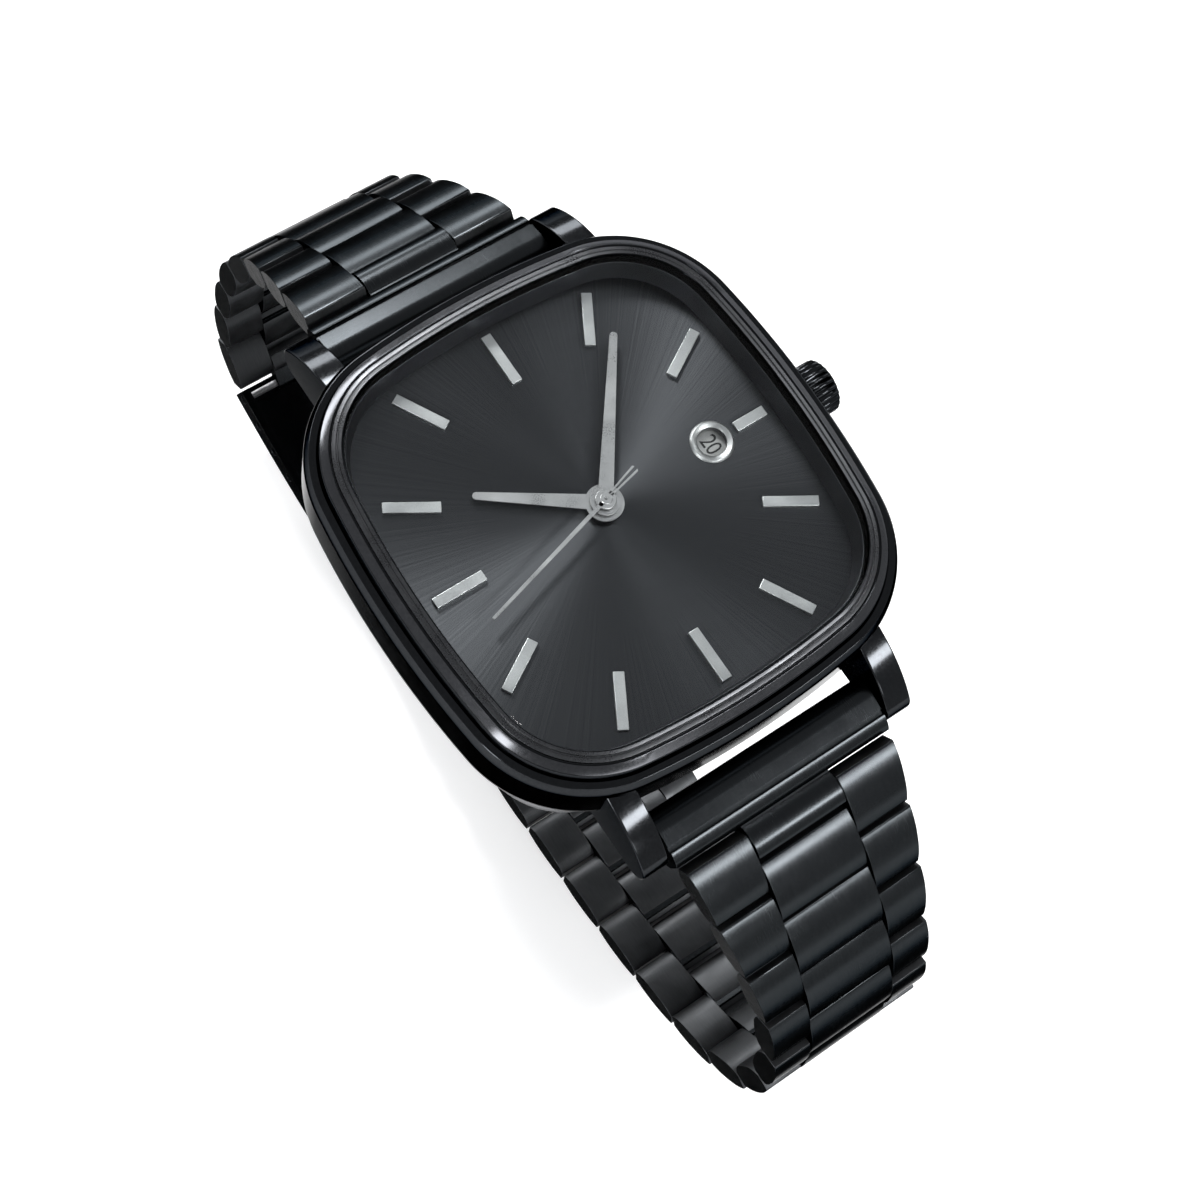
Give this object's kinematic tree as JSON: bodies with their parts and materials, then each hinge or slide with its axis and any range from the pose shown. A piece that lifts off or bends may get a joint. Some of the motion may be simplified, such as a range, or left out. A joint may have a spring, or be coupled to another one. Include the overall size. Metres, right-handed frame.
{
  "type": "wristwatch",
  "caption": "Square black wristwatch with a steel link bracelet closed round and a folding clasp.",
  "frame": {"origin": "centre of the case back's outer face, behind the hands", "axes": "+Z out of the dial, +X towards the crown at 3 o'clock, +Y towards 12 o'clock"},
  "size_m": [0.0413, 0.0854, 0.0521],
  "materials": {
    "back_steel": "satin",
    "blade_steel": "polished",
    "case_black": "polished",
    "date_white": "matt",
    "dial_black": "sunburst",
    "glass": "clear",
    "hand_silver": "polished",
    "link_black": "satin",
    "movement_metal": "satin",
    "pin_steel": "satin",
    "silver": "satin"
  },
  "bodies": {
    "case": {"mid_case": "case_black", "bezel": "case_black", "crystal": "glass", "dial": "dial_black", "hour_markers": "silver", "date_frame": "silver", "case_back": "back_steel", "spring_bars": "pin_steel", "crown_tube": "pin_steel", "movement": "movement_metal"},
    "stem": {"crown_stem": "pin_steel"},
    "crown": {"crown": "case_black"},
    "hour_hand": {"hour_hand": "hand_silver"},
    "minute_hand": {"minute_hand": "hand_silver"},
    "second_hand": {"second_hand": "hand_silver"},
    "date_disc": {"date_disc": "date_white"},
    "end_link_12": {"end_link_12": "link_black"},
    "link_12_01": {"link_12_01": "link_black"},
    "link_12_02": {"link_12_02": "link_black"},
    "link_12_03": {"link_12_03": "link_black"},
    "link_12_04": {"link_12_04": "link_black"},
    "link_12_05": {"link_12_05": "link_black"},
    "link_12_06": {"link_12_06": "link_black"},
    "link_12_07": {"link_12_07": "link_black"},
    "link_12_08": {"link_12_08": "link_black"},
    "clasp_cover": {"clasp_cover": "case_black", "cover_pins": "pin_steel"},
    "outer_blade": {"outer_blade": "blade_steel", "fold_pin": "pin_steel"},
    "inner_blade": {"inner_blade": "blade_steel"},
    "end_link_6": {"end_link_6": "link_black"},
    "link_6_01": {"link_6_01": "link_black"},
    "link_6_02": {"link_6_02": "link_black"},
    "link_6_03": {"link_6_03": "link_black"},
    "link_6_04": {"link_6_04": "link_black"},
    "link_6_05": {"link_6_05": "link_black"},
    "link_6_06": {"link_6_06": "link_black"},
    "link_6_07": {"link_6_07": "link_black"},
    "link_6_08": {"link_6_08": "link_black"},
    "link_6_09": {"link_6_09": "link_black"},
    "link_6_10": {"link_6_10": "link_black"},
    "link_6_11": {"link_6_11": "link_black"},
    "link_6_12": {"link_6_12": "link_black"},
    "link_6_13": {"link_6_13": "link_black"}
  },
  "joints": [
    {"name": "strand_12_open", "type": "hinge", "parent": "case", "child": "end_link_12", "pos_m": [0, 0.0222, 0.0026], "axis": [1, 0, 0], "range_deg": [0, 15]},
    {"name": "link_12_01_pivot", "type": "hinge", "parent": "end_link_12", "child": "link_12_01", "pos_m": [0, 0.02645, 0.00146], "axis": [1, 0, 0], "range_deg": [0, 23]},
    {"name": "link_12_02_pivot", "type": "hinge", "parent": "link_12_01", "child": "link_12_02", "pos_m": [0, 0.03082, -0.00196], "axis": [1, 0, 0], "range_deg": [0, 7]},
    {"name": "link_12_03_pivot", "type": "hinge", "parent": "link_12_02", "child": "link_12_03", "pos_m": [0, 0.03475, -0.00588], "axis": [1, 0, 0], "range_deg": [0, 9]},
    {"name": "link_12_04_pivot", "type": "hinge", "parent": "link_12_03", "child": "link_12_04", "pos_m": [0, 0.03801, -0.01037], "axis": [1, 0, 0], "range_deg": [0, 12]},
    {"name": "link_12_05_pivot", "type": "hinge", "parent": "link_12_04", "child": "link_12_05", "pos_m": [0, 0.04027, -0.01544], "axis": [1, 0, 0], "range_deg": [0, 13]},
    {"name": "link_12_06_pivot", "type": "hinge", "parent": "link_12_05", "child": "link_12_06", "pos_m": [0, 0.04133, -0.02089], "axis": [1, 0, 0], "range_deg": [0, 7]},
    {"name": "link_12_07_pivot", "type": "hinge", "parent": "link_12_06", "child": "link_12_07", "pos_m": [0, 0.04171, -0.02642], "axis": [1, 0, 0], "range_deg": [0, 12]},
    {"name": "link_12_08_pivot", "type": "hinge", "parent": "link_12_07", "child": "link_12_08", "pos_m": [0, 0.04094, -0.03192], "axis": [1, 0, 0], "range_deg": [0, 26]},
    {"name": "clasp_cover_pivot", "type": "hinge", "parent": "link_12_08", "child": "clasp_cover", "pos_m": [0, 0.03784, -0.03652], "axis": [1, 0, 0], "range_deg": [0, 35.72]},
    {"name": "outer_blade_unfold", "type": "hinge", "parent": "clasp_cover", "child": "outer_blade", "pos_m": [0, -0.00174, -0.03848], "axis": [1, 0, 0], "range_deg": [0, 170.01]},
    {"name": "inner_blade_unfold", "type": "hinge", "parent": "outer_blade", "child": "inner_blade", "pos_m": [0, 0.02621, -0.03933], "axis": [-1, 0, 0], "range_deg": [0, 170.01]},
    {"name": "strand_6_open", "type": "hinge", "parent": "case", "child": "end_link_6", "pos_m": [0, -0.0222, 0.0026], "axis": [-1, 0, 0], "range_deg": [0, 15]},
    {"name": "link_6_01_pivot", "type": "hinge", "parent": "end_link_6", "child": "link_6_01", "pos_m": [0, -0.02645, 0.00146], "axis": [-1, 0, 0], "range_deg": [0, 23]},
    {"name": "link_6_02_pivot", "type": "hinge", "parent": "link_6_01", "child": "link_6_02", "pos_m": [0, -0.03082, -0.00196], "axis": [-1, 0, 0], "range_deg": [0, 7]},
    {"name": "link_6_03_pivot", "type": "hinge", "parent": "link_6_02", "child": "link_6_03", "pos_m": [0, -0.03475, -0.00588], "axis": [-1, 0, 0], "range_deg": [0, 9]},
    {"name": "link_6_04_pivot", "type": "hinge", "parent": "link_6_03", "child": "link_6_04", "pos_m": [0, -0.03801, -0.01037], "axis": [-1, 0, 0], "range_deg": [0, 12]},
    {"name": "link_6_05_pivot", "type": "hinge", "parent": "link_6_04", "child": "link_6_05", "pos_m": [0, -0.04027, -0.01544], "axis": [-1, 0, 0], "range_deg": [0, 17]},
    {"name": "link_6_06_pivot", "type": "hinge", "parent": "link_6_05", "child": "link_6_06", "pos_m": [0, -0.04094, -0.02095], "axis": [-1, 0, 0], "range_deg": [0, 21]},
    {"name": "link_6_07_pivot", "type": "hinge", "parent": "link_6_06", "child": "link_6_07", "pos_m": [0, -0.0396, -0.02633], "axis": [-1, 0, 0], "range_deg": [0, 23]},
    {"name": "link_6_08_pivot", "type": "hinge", "parent": "link_6_07", "child": "link_6_08", "pos_m": [0, -0.03626, -0.03077], "axis": [-1, 0, 0], "range_deg": [0, 22]},
    {"name": "link_6_09_pivot", "type": "hinge", "parent": "link_6_08", "child": "link_6_09", "pos_m": [0, -0.0315, -0.03363], "axis": [-1, 0, 0], "range_deg": [0, 13]},
    {"name": "link_6_10_pivot", "type": "hinge", "parent": "link_6_09", "child": "link_6_10", "pos_m": [0, -0.02623, -0.03534], "axis": [-1, 0, 0], "range_deg": [0, 7]},
    {"name": "link_6_11_pivot", "type": "hinge", "parent": "link_6_10", "child": "link_6_11", "pos_m": [0, -0.02078, -0.0364], "axis": [-1, 0, 0], "range_deg": [0, 4]},
    {"name": "link_6_12_pivot", "type": "hinge", "parent": "link_6_11", "child": "link_6_12", "pos_m": [0, -0.01527, -0.03708], "axis": [-1, 0, 0], "range_deg": [0, 3]},
    {"name": "link_6_13_pivot", "type": "hinge", "parent": "link_6_12", "child": "link_6_13", "pos_m": [0, -0.00973, -0.03746], "axis": [-1, 0, 0], "range_deg": [0, 3]},
    {"name": "crown_pull", "type": "slide", "parent": "case", "child": "stem", "axis": [1, 0, 0], "range_m": [0, 0.0014]},
    {"name": "crown_turn", "type": "hinge", "parent": "stem", "child": "crown", "pos_m": [0.01955, 0, 0.00495], "axis": [1, 0, 0], "continuous": true},
    {"name": "second_hand_turn", "type": "hinge", "parent": "case", "child": "second_hand", "pos_m": [0, 0, 0.00842], "axis": [0, 0, -1], "continuous": true},
    {"name": "minute_hand_turn", "type": "hinge", "parent": "case", "child": "minute_hand", "pos_m": [0, 0, 0.00806], "axis": [0, 0, -1], "continuous": true},
    {"name": "hour_hand_turn", "type": "hinge", "parent": "case", "child": "hour_hand", "pos_m": [0, 0, 0.0077], "axis": [0, 0, -1], "continuous": true},
    {"name": "date_disc_turn", "type": "hinge", "parent": "case", "child": "date_disc", "pos_m": [0, 0, 0.0067], "axis": [0, 0, -1], "continuous": true}
  ],
  "couplings": [
    {"joint": "link_12_01_pivot", "follows": "strand_12_open", "ratio": 1.5333},
    {"joint": "link_12_02_pivot", "follows": "strand_12_open", "ratio": 0.46667},
    {"joint": "link_12_03_pivot", "follows": "strand_12_open", "ratio": 0.6},
    {"joint": "link_12_04_pivot", "follows": "strand_12_open", "ratio": 0.8},
    {"joint": "link_12_05_pivot", "follows": "strand_12_open", "ratio": 0.86667},
    {"joint": "link_12_06_pivot", "follows": "strand_12_open", "ratio": 0.46667},
    {"joint": "link_12_07_pivot", "follows": "strand_12_open", "ratio": 0.8},
    {"joint": "link_12_08_pivot", "follows": "strand_12_open", "ratio": 1.7333},
    {"joint": "clasp_cover_pivot", "follows": "strand_12_open", "ratio": 2.3814},
    {"joint": "outer_blade_unfold", "follows": "strand_12_open", "ratio": 11.333},
    {"joint": "inner_blade_unfold", "follows": "strand_12_open", "ratio": 11.333},
    {"joint": "link_6_01_pivot", "follows": "strand_6_open", "ratio": 1.5333},
    {"joint": "link_6_02_pivot", "follows": "strand_6_open", "ratio": 0.46667},
    {"joint": "link_6_03_pivot", "follows": "strand_6_open", "ratio": 0.6},
    {"joint": "link_6_04_pivot", "follows": "strand_6_open", "ratio": 0.8},
    {"joint": "link_6_05_pivot", "follows": "strand_6_open", "ratio": 1.1333},
    {"joint": "link_6_06_pivot", "follows": "strand_6_open", "ratio": 1.4},
    {"joint": "link_6_07_pivot", "follows": "strand_6_open", "ratio": 1.5333},
    {"joint": "link_6_08_pivot", "follows": "strand_6_open", "ratio": 1.4667},
    {"joint": "link_6_09_pivot", "follows": "strand_6_open", "ratio": 0.86667},
    {"joint": "link_6_10_pivot", "follows": "strand_6_open", "ratio": 0.46667},
    {"joint": "link_6_11_pivot", "follows": "strand_6_open", "ratio": 0.26667},
    {"joint": "link_6_12_pivot", "follows": "strand_6_open", "ratio": 0.2},
    {"joint": "link_6_13_pivot", "follows": "strand_6_open", "ratio": 0.2},
    {"joint": "minute_hand_turn", "follows": "second_hand_turn", "ratio": 0.016667},
    {"joint": "hour_hand_turn", "follows": "second_hand_turn", "ratio": 0.0013889}
  ]
}
